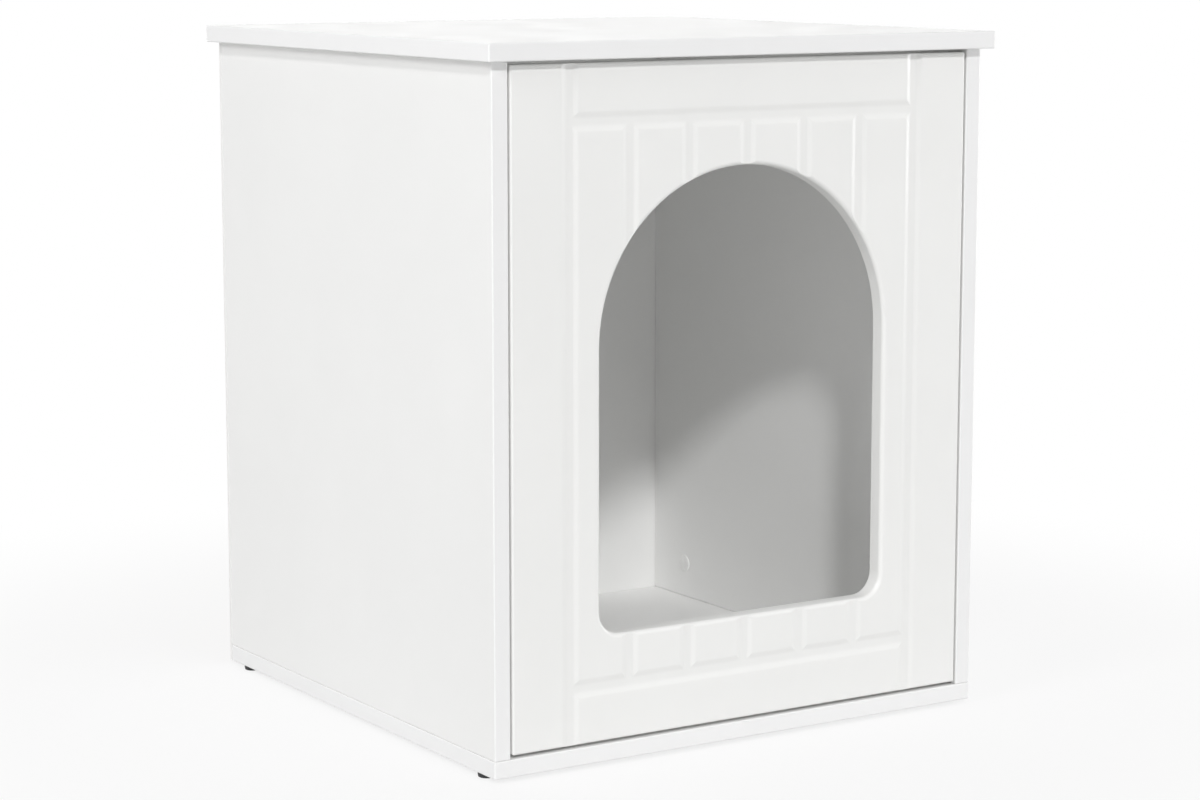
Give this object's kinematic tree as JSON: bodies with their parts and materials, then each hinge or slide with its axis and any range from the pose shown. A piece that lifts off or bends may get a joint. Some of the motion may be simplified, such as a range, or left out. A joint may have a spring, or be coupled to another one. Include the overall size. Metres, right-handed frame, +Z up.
{
  "type": "cat house",
  "caption": "White flat-pack cabinet for a cat, with an overhanging top board and a hinged, panelled door that has an arched opening.",
  "frame": {"origin": "on the floor, straight under the middle of the top board", "axes": "+Z up, the door and the arched opening face -Y, +X is to the right of someone who looks at the door"},
  "size_m": [0.51, 0.51, 0.6],
  "materials": {
    "white_board": "smooth white satin foil over fibreboard",
    "hardboard": "thin hardboard, white inside and bare brown outside",
    "beech": "bare beech",
    "hinge_metal": "satin nickel plate",
    "screw_steel": "bright zinc plate",
    "white_plastic": "satin moulded plastic",
    "black_plastic": "matt moulded plastic",
    "ferrite": "dull sintered magnet"
  },
  "bodies": {
    "carcass": {"top_board": "white_board", "bottom_board": "white_board", "left_side_panel": "white_board", "right_side_panel": "white_board", "back_panel": "hardboard", "upper_hinge_arm": "hinge_metal", "upper_mounting_plate": "hinge_metal", "lower_hinge_arm": "hinge_metal", "lower_mounting_plate": "hinge_metal", "plate_screws": "screw_steel", "arm_fixing_screws": "screw_steel", "side_adjusting_screws": "screw_steel", "catch_housing": "white_plastic", "catch_magnet": "ferrite", "catch_pole_plates": "screw_steel", "catch_screws": "screw_steel", "cam_bolts": "screw_steel", "cam_locks": "hinge_metal", "cam_caps": "white_plastic", "dowels": "beech", "front_left_foot": "black_plastic", "front_right_foot": "black_plastic", "back_left_foot": "black_plastic", "back_right_foot": "black_plastic", "foot_nails": "screw_steel", "back_panel_nails": "screw_steel"},
    "door": {"door": "white_board", "upper_hinge_cup": "hinge_metal", "upper_hinge_pin": "screw_steel", "lower_hinge_cup": "hinge_metal", "lower_hinge_pin": "screw_steel", "cup_screws": "screw_steel", "strike_plate": "screw_steel", "strike_screw": "screw_steel"}
  },
  "joints": [
    {"name": "door_hinge", "type": "hinge", "parent": "carcass", "child": "door", "pos_m": [0.221, -0.2387, 0.302], "axis": [0, 0, 1], "range_deg": [0, 95]}
  ]
}
